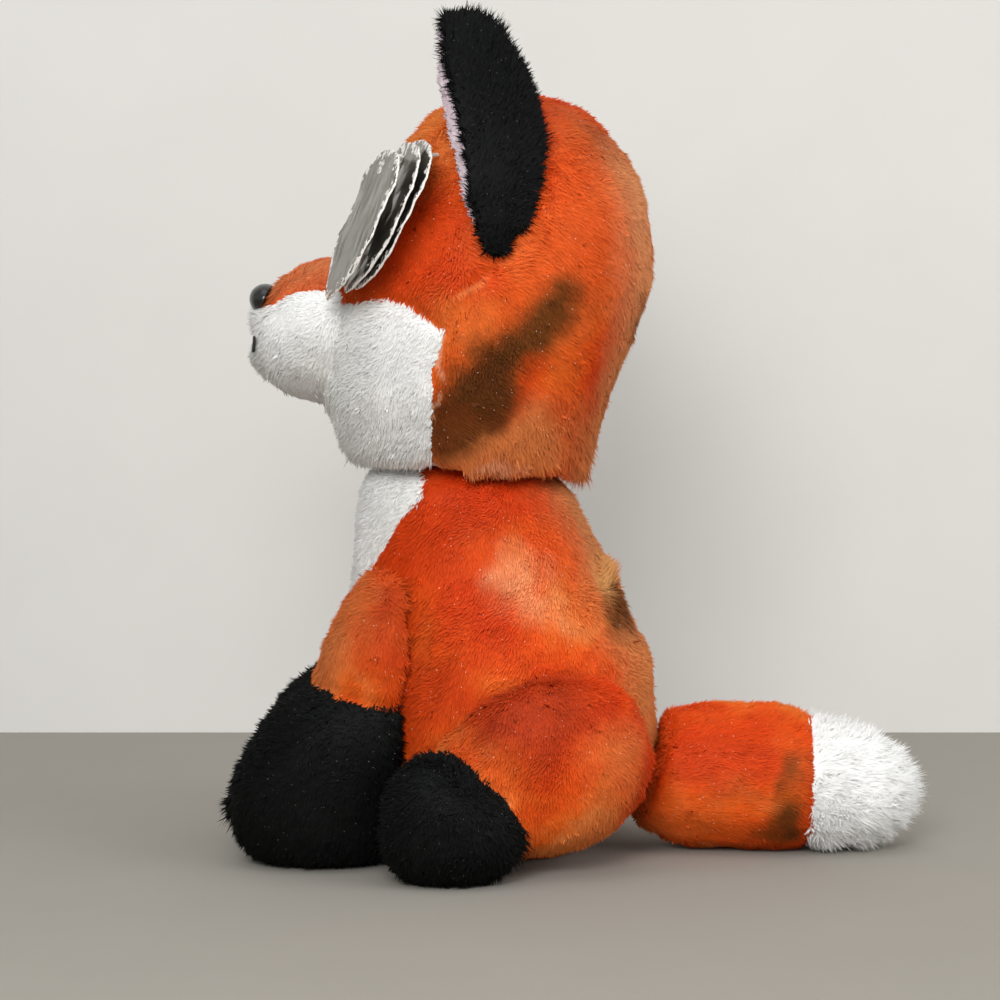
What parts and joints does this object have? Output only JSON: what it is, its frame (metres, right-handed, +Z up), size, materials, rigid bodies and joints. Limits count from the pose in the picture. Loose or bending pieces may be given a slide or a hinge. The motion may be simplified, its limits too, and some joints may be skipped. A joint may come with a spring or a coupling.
{
  "type": "plush fox toy",
  "caption": "Small sitting fox of orange, white and black plush with hard eyes and nose, floppy seams at neck, limbs, ears and tail, and a bare foil swing tag.",
  "frame": {"origin": "middle of the box round the toy, at the floor that it sits on", "axes": "+Z up, -Y the way the fox faces, +X its left side"},
  "size_m": [0.1102, 0.1681, 0.2005],
  "materials": {
    "orange_plush": "short shiny plush with a mottled dye",
    "white_plush": "short plush",
    "black_plush": "longer plush with glitter flecks",
    "ear_velour": "short satin velour",
    "fibre_fill": "loose fibre",
    "pellet_cloth": "thin woven cloth over pellets",
    "stitch_thread": "satin stitch",
    "nose_plastic": "polished",
    "eye_plastic": "polished",
    "washer_plastic": "moulded",
    "fastener_plastic": "clear moulded line",
    "tag_foil": "crumpled foil on card"
  },
  "bodies": {
    "torso": {"torso_stuffing": "fibre_fill", "pellet_bag": "pellet_cloth", "side_panel_left": "orange_plush", "side_panel_right": "orange_plush", "chest_panel": "white_plush", "seat_panel": "orange_plush"},
    "neck": {"neck_stuffing": "fibre_fill"},
    "head": {"head_stuffing": "fibre_fill", "head_back_left": "orange_plush", "head_back_right": "orange_plush", "face_panel_left": "orange_plush", "face_panel_right": "orange_plush", "cheek_left": "white_plush", "cheek_right": "white_plush", "eye_left": "eye_plastic", "eye_right": "eye_plastic", "eye_washer_left": "washer_plastic", "eye_washer_right": "washer_plastic", "bridge_panel": "orange_plush", "muzzle_panel": "white_plush", "nose": "nose_plastic", "nose_washer": "washer_plastic", "mouth_stitch": "stitch_thread"},
    "ear_left": {"ear_back_left": "black_plush", "ear_lining_left": "ear_velour"},
    "ear_right": {"ear_back_right": "black_plush", "ear_lining_right": "ear_velour"},
    "foreleg_left": {"foreleg_sleeve_left": "orange_plush", "boot_left": "black_plush", "foreleg_stuffing_left": "fibre_fill"},
    "foreleg_right": {"foreleg_sleeve_right": "orange_plush", "boot_right": "black_plush", "foreleg_stuffing_right": "fibre_fill"},
    "hindleg_left": {"haunch_left": "orange_plush", "foot_left": "black_plush", "hindleg_stuffing_left": "fibre_fill"},
    "hindleg_right": {"haunch_right": "orange_plush", "foot_right": "black_plush", "hindleg_stuffing_right": "fibre_fill"},
    "tail": {"tail_sleeve": "orange_plush", "tail_tip": "white_plush", "tail_stuffing": "fibre_fill"},
    "tag": {"tag_back_leaf": "tag_foil", "tag_inner_leaf": "tag_foil", "tag_fastener": "fastener_plastic"},
    "tag_cover": {"tag_cover": "tag_foil"}
  },
  "joints": [
    {"name": "head_turn", "type": "hinge", "parent": "torso", "child": "neck", "pos_m": [0, -0.028, 0.06406], "axis": [0, 0, 1], "range_deg": [-20, 20], "stiffness_Nm_per_rad": 1.5},
    {"name": "head_nod", "type": "hinge", "parent": "neck", "child": "head", "pos_m": [0, -0.028, 0.06406], "axis": [1, 0, 0], "range_deg": [-8, 8], "stiffness_Nm_per_rad": 3},
    {"name": "ear_left_fold", "type": "hinge", "parent": "head", "child": "ear_left", "pos_m": [0.03807, -0.01764, 0.14053], "axis": [-0.5075, 0, 0.8616], "range_deg": [-8, 8], "stiffness_Nm_per_rad": 0.2},
    {"name": "ear_right_fold", "type": "hinge", "parent": "head", "child": "ear_right", "pos_m": [-0.03807, -0.01764, 0.14053], "axis": [-0.5075, 0, -0.8616], "range_deg": [-8, 8], "stiffness_Nm_per_rad": 0.2},
    {"name": "foreleg_left_swing", "type": "hinge", "parent": "torso", "child": "foreleg_left", "pos_m": [0, -0.0398, 0.0697], "axis": [1, 0, 0], "range_deg": [-12, 0], "stiffness_Nm_per_rad": 1},
    {"name": "foreleg_right_swing", "type": "hinge", "parent": "torso", "child": "foreleg_right", "pos_m": [0, -0.0398, 0.0697], "axis": [1, 0, 0], "range_deg": [-12, 0], "stiffness_Nm_per_rad": 1},
    {"name": "hindleg_left_splay", "type": "hinge", "parent": "torso", "child": "hindleg_left", "pos_m": [0.02625, 0.01568, 0], "axis": [0, 0, 1], "range_deg": [0, 10], "stiffness_Nm_per_rad": 1},
    {"name": "hindleg_right_splay", "type": "hinge", "parent": "torso", "child": "hindleg_right", "pos_m": [-0.02625, 0.01568, 0], "axis": [0, 0, 1], "range_deg": [-10, 0], "stiffness_Nm_per_rad": 1},
    {"name": "tail_wag", "type": "hinge", "parent": "torso", "child": "tail", "pos_m": [0, 0.01207, 0], "axis": [0, 0, 1], "range_deg": [-12, 12], "stiffness_Nm_per_rad": 0.5},
    {"name": "tag_swing", "type": "hinge", "parent": "head", "child": "tag", "pos_m": [0.026, -0.03214, 0.1682], "axis": [-0.9511, -0.2801, 0.1306], "range_deg": [0, 20]},
    {"name": "tag_cover_open", "type": "hinge", "parent": "tag", "child": "tag_cover", "pos_m": [0.0315, -0.0448, 0.166], "axis": [-0.9563, -0.2671, 0.1189], "range_deg": [0, 25]}
  ]
}
